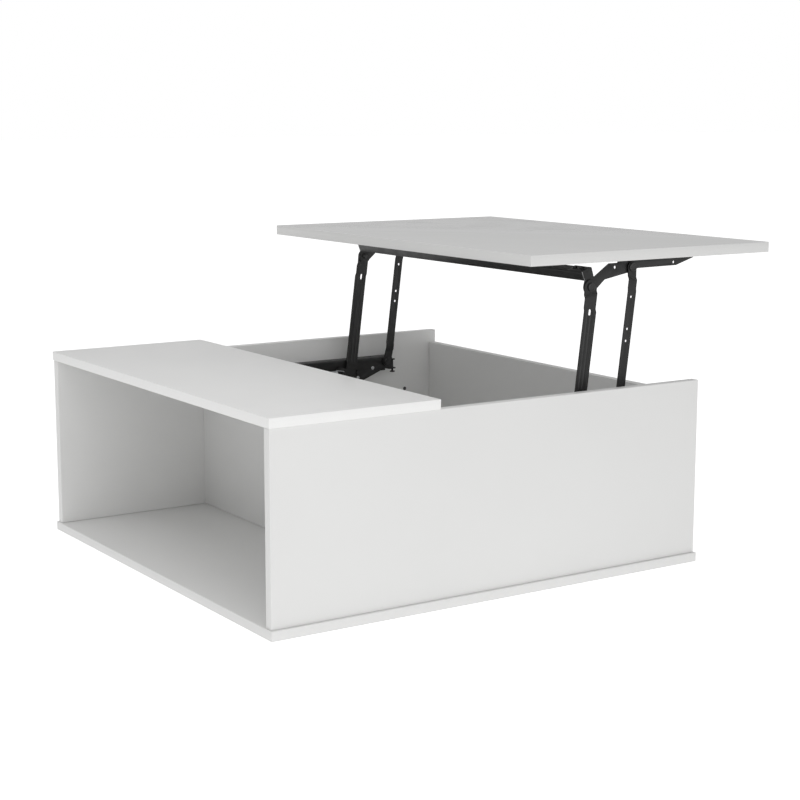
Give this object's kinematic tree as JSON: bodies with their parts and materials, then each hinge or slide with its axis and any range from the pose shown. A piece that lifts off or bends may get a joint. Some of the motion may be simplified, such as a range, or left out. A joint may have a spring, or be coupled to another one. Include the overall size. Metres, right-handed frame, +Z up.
{
  "type": "lift top coffee table",
  "caption": "White board coffee table with an open shelf, a storage well and a high-gloss lift top on black pressed steel parallelogram arms.",
  "frame": {"origin": "centre of the base board's underside, on the floor", "axes": "+Z up; the open shelf faces -X, the lift top rises towards +X, and the long panels run along X"},
  "size_m": [1.1795, 0.974, 0.6514],
  "materials": {
    "white_melamine_board": "matt white melamine-faced board",
    "gloss_white_board": "high-gloss white lacquered board",
    "black_powder_coated_steel": "black powder coat on pressed steel",
    "zinc_plated_steel": "bright zinc plate",
    "black_rubber": "matt black rubber",
    "dark_plastic": "dark grey plastic"
  },
  "bodies": {
    "carcass": {"base_board": "white_melamine_board", "side_panel_near": "white_melamine_board", "side_panel_far": "white_melamine_board", "end_panel": "white_melamine_board", "divider_panel": "white_melamine_board", "fixed_top": "gloss_white_board", "base_bracket_near": "black_powder_coated_steel", "adjusting_bolt_near": "black_powder_coated_steel", "spring_anchor_near": "zinc_plated_steel", "stop_buffer_near": "black_rubber", "bracket_rivet_near_1": "zinc_plated_steel", "bracket_rivet_near_2": "zinc_plated_steel", "front_lower_pin_near": "black_powder_coated_steel", "rear_lower_pin_near": "black_powder_coated_steel", "panel_cam_cap_near": "dark_plastic", "base_bracket_far": "black_powder_coated_steel", "adjusting_bolt_far": "black_powder_coated_steel", "spring_anchor_far": "zinc_plated_steel", "stop_buffer_far": "black_rubber", "bracket_rivet_far_1": "zinc_plated_steel", "bracket_rivet_far_2": "zinc_plated_steel", "front_lower_pin_far": "black_powder_coated_steel", "rear_lower_pin_far": "black_powder_coated_steel", "panel_cam_cap_far": "dark_plastic"},
    "front_arm_near": {"front_arm_near": "black_powder_coated_steel"},
    "front_arm_far": {"front_arm_far": "black_powder_coated_steel"},
    "rear_arm_near": {"rear_arm_near": "black_powder_coated_steel"},
    "rear_arm_far": {"rear_arm_far": "black_powder_coated_steel"},
    "bracket_carrier": {"cross_bar": "black_powder_coated_steel", "upper_bracket_near": "black_powder_coated_steel", "slide_shoe_near": "black_powder_coated_steel", "front_upper_pin_near": "black_powder_coated_steel", "rear_upper_pin_near": "black_powder_coated_steel", "bar_screw_near_1": "black_powder_coated_steel", "bar_screw_near_2": "black_powder_coated_steel", "upper_bracket_far": "black_powder_coated_steel", "slide_shoe_far": "black_powder_coated_steel", "front_upper_pin_far": "black_powder_coated_steel", "rear_upper_pin_far": "black_powder_coated_steel", "bar_screw_far_1": "black_powder_coated_steel", "bar_screw_far_2": "black_powder_coated_steel"},
    "lift_top": {"lift_top": "gloss_white_board", "slide_channel_near": "black_powder_coated_steel", "channel_screw_near_1": "zinc_plated_steel", "channel_screw_near_2": "zinc_plated_steel", "slide_channel_far": "black_powder_coated_steel", "channel_screw_far_1": "zinc_plated_steel", "channel_screw_far_2": "zinc_plated_steel"},
    "spring_near": {"lift_spring_near": "zinc_plated_steel"},
    "spring_hook_near": {"spring_hook_near": "zinc_plated_steel"},
    "spring_far": {"lift_spring_far": "zinc_plated_steel"},
    "spring_hook_far": {"spring_hook_far": "zinc_plated_steel"}
  },
  "joints": [
    {"name": "lift", "type": "hinge", "parent": "carcass", "child": "front_arm_near", "pos_m": [0.22465, -0.424, 0.28382], "axis": [0, -1, 0], "range_deg": [0, 89.03]},
    {"name": "front_arm_far_pivot", "type": "hinge", "parent": "carcass", "child": "front_arm_far", "pos_m": [0.22465, 0.424, 0.28382], "axis": [0, -1, 0], "range_deg": [0, 89.1]},
    {"name": "rear_arm_near_pivot", "type": "hinge", "parent": "carcass", "child": "rear_arm_near", "pos_m": [0.33015, -0.424, 0.31832], "axis": [0, -1, 0], "range_deg": [0, 89.1]},
    {"name": "rear_arm_far_pivot", "type": "hinge", "parent": "carcass", "child": "rear_arm_far", "pos_m": [0.33015, 0.424, 0.31832], "axis": [0, -1, 0], "range_deg": [0, 89.1]},
    {"name": "bracket_pivot", "type": "hinge", "parent": "front_arm_near", "child": "bracket_carrier", "pos_m": [0.2615, -0.424, 0.5755], "axis": [0, -1, 0], "range_deg": [-89.1, 0]},
    {"name": "top_slide", "type": "slide", "parent": "bracket_carrier", "child": "lift_top", "axis": [1, 0, 0], "range_m": [0, 0.13]},
    {"name": "spring_near_pivot", "type": "hinge", "parent": "carcass", "child": "spring_near", "pos_m": [-0.1, -0.409, 0.282], "axis": [0, -1, 0], "range_deg": [-8.8, 0], "deforming": ["lift_spring_near"]},
    {"name": "spring_near_stretch", "type": "slide", "parent": "spring_near", "child": "spring_hook_near", "axis": [0.9981, 0, 0.062], "range_m": [0, 0.0137], "deforming": ["spring_hook_near"]},
    {"name": "spring_far_pivot", "type": "hinge", "parent": "carcass", "child": "spring_far", "pos_m": [-0.1, 0.409, 0.282], "axis": [0, -1, 0], "range_deg": [-8.8, 0], "deforming": ["lift_spring_far"]},
    {"name": "spring_far_stretch", "type": "slide", "parent": "spring_far", "child": "spring_hook_far", "axis": [0.9981, 0, 0.062], "range_m": [0, 0.0137], "deforming": ["spring_hook_far"]}
  ],
  "couplings": [
    {"joint": "front_arm_far_pivot", "follows": "lift", "ratio": 1},
    {"joint": "rear_arm_near_pivot", "follows": "lift", "ratio": 1},
    {"joint": "rear_arm_far_pivot", "follows": "lift", "ratio": 1},
    {"joint": "bracket_pivot", "follows": "lift", "ratio": -1},
    {"joint": "top_slide", "follows": "lift", "m_per_rad": 0.083575},
    {"joint": "spring_near_pivot", "follows": "lift", "ratio": -0.098158},
    {"joint": "spring_near_stretch", "follows": "lift", "m_per_rad": 0.008809},
    {"joint": "spring_far_pivot", "follows": "lift", "ratio": -0.098158},
    {"joint": "spring_far_stretch", "follows": "lift", "m_per_rad": 0.008809}
  ]
}
